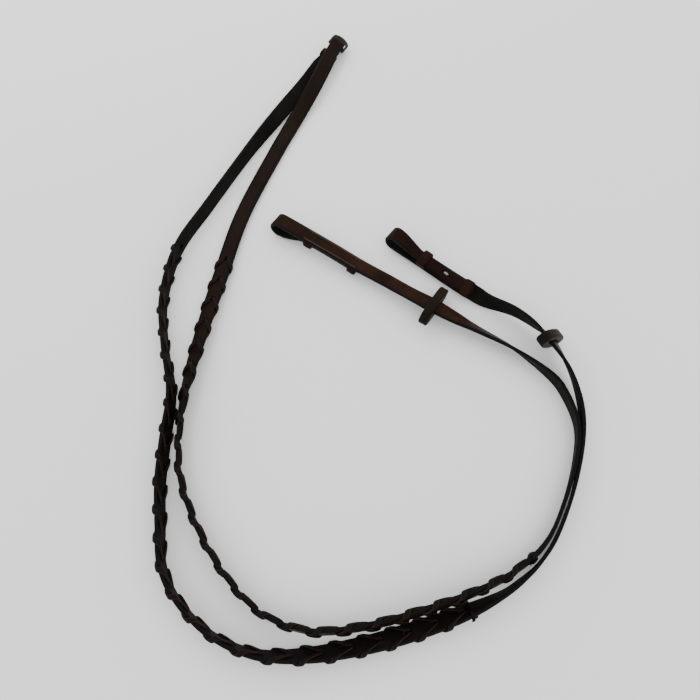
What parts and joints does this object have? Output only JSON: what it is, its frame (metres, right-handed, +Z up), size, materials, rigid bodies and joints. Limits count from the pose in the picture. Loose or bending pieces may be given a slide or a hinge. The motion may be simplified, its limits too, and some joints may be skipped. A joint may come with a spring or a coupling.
{
  "type": "leather reins",
  "caption": "Pair of dark laced leather reins joined by a small buckle, with sliding rein stops and hook-stud bit ends, lying in a loose heart shape.",
  "frame": {"origin": "middle of the outline's bounding box, on the surface the reins lie on", "axes": "+Y from the laced hand parts towards the buckle, +Z up out of the surface, +X to the right as seen from above"},
  "size_m": [0.3882, 0.655, 0.0414],
  "materials": {
    "buckle_rein_strap": "oiled",
    "buckle_rein_lace_left": "oiled",
    "buckle_rein_lace_right": "oiled",
    "buckle_rein_lace_tie": "oiled",
    "buckle_rein_stop": "oiled",
    "buckle_rein_stud_lining": "oiled",
    "buckle_rein_bit_keeper": "oiled",
    "buckle_rein_tip_keeper": "oiled",
    "buckle_rein_hook_stud": "polished",
    "buckle_rein_stitching_left": "waxed thread",
    "buckle_rein_stitching_right": "waxed thread",
    "point_rein_strap": "oiled",
    "point_rein_lace_left": "oiled",
    "point_rein_lace_right": "oiled",
    "point_rein_lace_tie": "oiled",
    "point_rein_stop": "oiled",
    "point_rein_stud_lining": "oiled",
    "point_rein_bit_keeper": "oiled",
    "point_rein_tip_keeper": "oiled",
    "point_rein_hook_stud": "polished",
    "point_rein_stitching_left": "waxed thread",
    "point_rein_stitching_right": "waxed thread",
    "buckle_frame": "polished",
    "buckle_tongue": "polished",
    "buckle_keeper": "oiled"
  },
  "bodies": {
    "reins": {"buckle_rein_strap": "buckle_rein_strap", "buckle_rein_lace_left": "buckle_rein_lace_left", "buckle_rein_lace_right": "buckle_rein_lace_right", "buckle_rein_lace_tie": "buckle_rein_lace_tie", "buckle_rein_stud_lining": "buckle_rein_stud_lining", "buckle_rein_bit_keeper": "buckle_rein_bit_keeper", "buckle_rein_tip_keeper": "buckle_rein_tip_keeper", "buckle_rein_hook_stud": "buckle_rein_hook_stud", "buckle_rein_stitching_left": "buckle_rein_stitching_left", "buckle_rein_stitching_right": "buckle_rein_stitching_right", "point_rein_strap": "point_rein_strap", "point_rein_lace_left": "point_rein_lace_left", "point_rein_lace_right": "point_rein_lace_right", "point_rein_lace_tie": "point_rein_lace_tie", "point_rein_stud_lining": "point_rein_stud_lining", "point_rein_bit_keeper": "point_rein_bit_keeper", "point_rein_tip_keeper": "point_rein_tip_keeper", "point_rein_hook_stud": "point_rein_hook_stud", "point_rein_stitching_left": "point_rein_stitching_left", "point_rein_stitching_right": "point_rein_stitching_right", "buckle_keeper": "buckle_keeper"},
    "buckle_rein_stop": {"buckle_rein_stop": "buckle_rein_stop"},
    "point_rein_stop": {"point_rein_stop": "point_rein_stop"},
    "buckle_frame": {"buckle_frame": "buckle_frame"},
    "buckle_tongue": {"buckle_tongue": "buckle_tongue"}
  },
  "joints": [
    {"name": "buckle_rein_stop_slide", "type": "slide", "parent": "reins", "child": "buckle_rein_stop", "axis": [-0.5115, 0.8592, -0.0067], "range_m": [-0.005, 0.001]},
    {"name": "point_rein_stop_slide", "type": "slide", "parent": "reins", "child": "point_rein_stop", "axis": [-0.8486, 0.529, -0.0026], "range_m": [-0.011, 0.016]},
    {"name": "buckle_swing", "type": "hinge", "parent": "reins", "child": "buckle_frame", "pos_m": [-0.02755, 0.31475, 0.00998], "axis": [0.7904, -0.5081, -0.342], "range_deg": [0, 70]},
    {"name": "tongue_swing", "type": "hinge", "parent": "reins", "child": "buckle_tongue", "pos_m": [-0.02755, 0.31475, 0.00998], "axis": [0.7904, -0.5081, -0.342], "range_deg": [-12, 0]}
  ]
}
